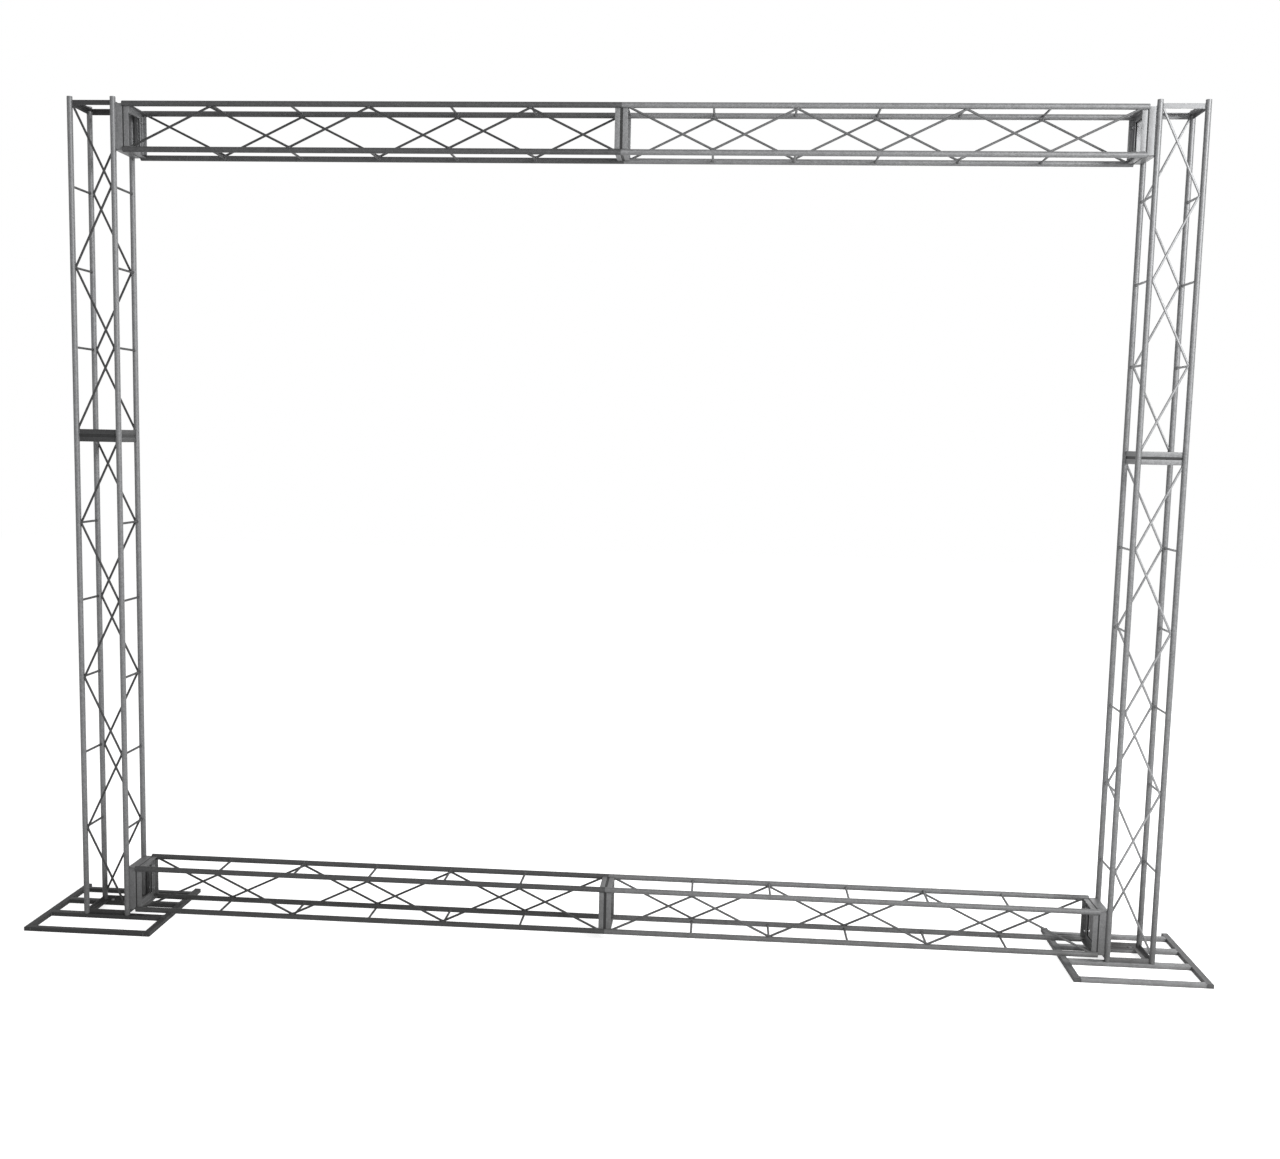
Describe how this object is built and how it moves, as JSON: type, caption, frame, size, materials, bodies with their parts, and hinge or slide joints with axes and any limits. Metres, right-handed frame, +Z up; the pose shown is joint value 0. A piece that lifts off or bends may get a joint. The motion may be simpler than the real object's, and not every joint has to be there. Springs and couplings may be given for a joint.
{
  "type": "box truss frame",
  "caption": "Free-standing rectangular frame of welded square steel box truss, with bolted sections, a lower and an upper beam, two towers and flat floor frames.",
  "frame": {"origin": "on the floor, midway between the two towers and midway through the truss's depth", "axes": "+X along the beams to the viewer's right, +Y to the back, +Z up"},
  "size_m": [7.1822, 0.86, 5.085],
  "materials": {
    "truss_steel": "galvanised or silver-painted mild steel, satin, streaked along the tubes and darker at welds",
    "floor_steel": "the same steel, scuffed and darker from the floor",
    "bolt_steel": "zinc-plated bolts and nuts"
  },
  "bodies": {
    "root": {"left_tower_lower": "truss_steel", "left_tower_upper": "truss_steel", "right_tower_lower": "truss_steel", "right_tower_upper": "truss_steel", "bottom_beam_left": "truss_steel", "bottom_beam_right": "truss_steel", "top_beam_left": "truss_steel", "top_beam_right": "truss_steel", "left_base": "floor_steel", "right_base": "floor_steel", "left_base_bolt_1": "bolt_steel", "left_base_bolt_2": "bolt_steel", "left_base_bolt_3": "bolt_steel", "left_base_bolt_4": "bolt_steel", "right_base_bolt_1": "bolt_steel", "right_base_bolt_2": "bolt_steel", "right_base_bolt_3": "bolt_steel", "right_base_bolt_4": "bolt_steel", "left_tower_bolt_1": "bolt_steel", "left_tower_bolt_2": "bolt_steel", "left_tower_bolt_3": "bolt_steel", "left_tower_bolt_4": "bolt_steel", "right_tower_bolt_1": "bolt_steel", "right_tower_bolt_2": "bolt_steel", "right_tower_bolt_3": "bolt_steel", "right_tower_bolt_4": "bolt_steel", "bottom_beam_bolt_1": "bolt_steel", "bottom_beam_bolt_2": "bolt_steel", "bottom_beam_bolt_3": "bolt_steel", "bottom_beam_bolt_4": "bolt_steel", "top_beam_bolt_1": "bolt_steel", "top_beam_bolt_2": "bolt_steel", "top_beam_bolt_3": "bolt_steel", "top_beam_bolt_4": "bolt_steel", "bottom_left_corner_bolt_1": "bolt_steel", "bottom_left_corner_bolt_2": "bolt_steel", "bottom_left_corner_bolt_3": "bolt_steel", "bottom_left_corner_bolt_4": "bolt_steel", "bottom_right_corner_bolt_1": "bolt_steel", "bottom_right_corner_bolt_2": "bolt_steel", "bottom_right_corner_bolt_3": "bolt_steel", "bottom_right_corner_bolt_4": "bolt_steel", "top_left_corner_bolt_1": "bolt_steel", "top_left_corner_bolt_2": "bolt_steel", "top_left_corner_bolt_3": "bolt_steel", "top_left_corner_bolt_4": "bolt_steel", "top_right_corner_bolt_1": "bolt_steel", "top_right_corner_bolt_2": "bolt_steel", "top_right_corner_bolt_3": "bolt_steel", "top_right_corner_bolt_4": "bolt_steel"}
  },
  "joints": []
}
